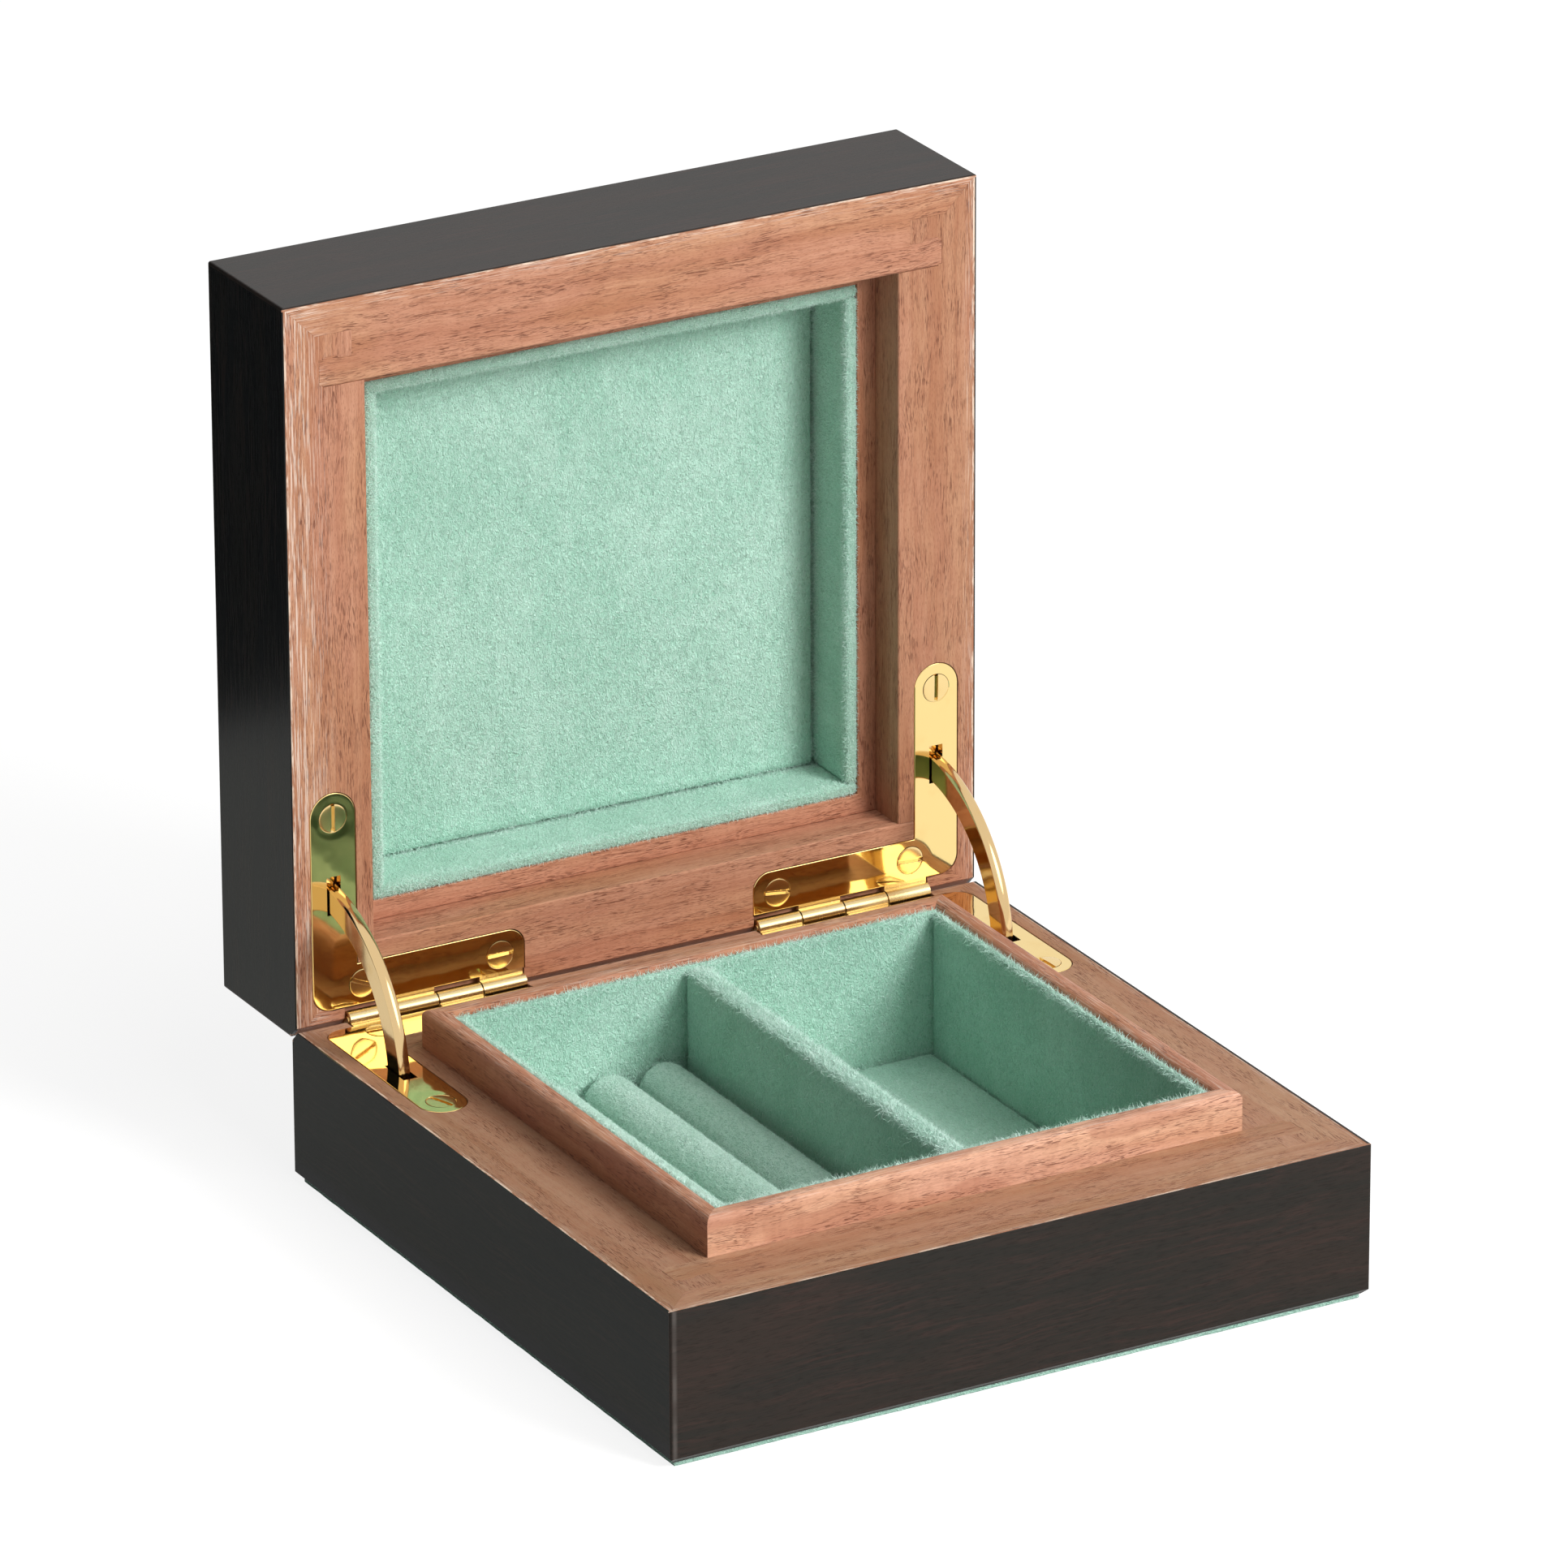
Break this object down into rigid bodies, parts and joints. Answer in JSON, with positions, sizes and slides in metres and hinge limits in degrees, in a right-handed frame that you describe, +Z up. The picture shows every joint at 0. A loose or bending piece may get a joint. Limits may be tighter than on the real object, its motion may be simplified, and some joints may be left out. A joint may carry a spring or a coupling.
{
  "type": "ring box",
  "caption": "Square hinged ring box standing open: veneered base and lid, raised lip, divided suede tray with padded ring rolls, flat compartment and quadrant stop hinges.",
  "frame": {"origin": "middle of the felt's underside, on the surface the box stands on", "axes": "+Z up, the front of the box faces -Y, the hinges are at +Y and their axis runs along X"},
  "size_m": [0.1512, 0.1787, 0.1802],
  "materials": {
    "mahogany": "satin lacquer",
    "dark_veneer": "polished lacquer",
    "panel_board": "raw plywood",
    "suede": "brushed suede",
    "felt": "felt",
    "brass": "mirror polish"
  },
  "bodies": {
    "base": {"base_wall_front": "mahogany", "base_veneer_front": "dark_veneer", "base_wall_back": "mahogany", "base_veneer_back": "dark_veneer", "base_wall_left": "mahogany", "base_veneer_left": "dark_veneer", "base_wall_right": "mahogany", "base_veneer_right": "dark_veneer", "base_bottom_panel": "panel_board", "base_felt": "felt", "lip_front": "mahogany", "lip_back": "mahogany", "lip_left": "mahogany", "lip_right": "mahogany", "tray_lining_front": "suede", "tray_lining_back": "suede", "tray_lining_left": "suede", "tray_lining_right": "suede", "tray_divider": "suede", "tray_floor_right": "suede", "ring_roll_board": "suede", "ring_roll_1": "suede", "ring_roll_2": "suede", "ring_roll_3": "suede", "ring_roll_4": "suede", "hinge_left_base_leaf": "brass", "hinge_left_base_screws": "brass", "hinge_left_pin": "brass", "hinge_right_base_leaf": "brass", "hinge_right_base_screws": "brass", "hinge_right_pin": "brass"},
    "lid": {"lid_wall_front": "mahogany", "lid_wall_back": "mahogany", "lid_wall_left": "mahogany", "lid_wall_right": "mahogany", "lid_veneer_front": "dark_veneer", "lid_veneer_back": "dark_veneer", "lid_veneer_left": "dark_veneer", "lid_veneer_right": "dark_veneer", "lid_veneer_top": "dark_veneer", "lid_top_panel": "panel_board", "lid_ledge_front": "mahogany", "lid_ledge_back": "mahogany", "lid_ledge_left": "mahogany", "lid_ledge_right": "mahogany", "lid_suede_front": "suede", "lid_suede_back": "suede", "lid_suede_left": "suede", "lid_suede_right": "suede", "lid_pad": "suede", "hinge_left_lid_leaf": "brass", "hinge_left_lid_screws": "brass", "hinge_right_lid_leaf": "brass", "hinge_right_lid_screws": "brass"},
    "left_arm": {"hinge_left_arm": "brass"},
    "right_arm": {"hinge_right_arm": "brass"}
  },
  "joints": [
    {"name": "lid_hinge", "type": "hinge", "parent": "base", "child": "lid", "pos_m": [0, 0.0729, 0.03225], "axis": [1, 0, 0], "range_deg": [0, 90]},
    {"name": "left_arm_slide", "type": "hinge", "parent": "base", "child": "left_arm", "pos_m": [-0.0668, 0.072, 0.03015], "axis": [1, 0, 0], "range_deg": [0, 45]},
    {"name": "right_arm_slide", "type": "hinge", "parent": "base", "child": "right_arm", "pos_m": [0.0668, 0.072, 0.03015], "axis": [1, 0, 0], "range_deg": [0, 45]}
  ],
  "couplings": [
    {"joint": "left_arm_slide", "follows": "lid_hinge", "ratio": 0.5},
    {"joint": "right_arm_slide", "follows": "lid_hinge", "ratio": 0.5}
  ]
}
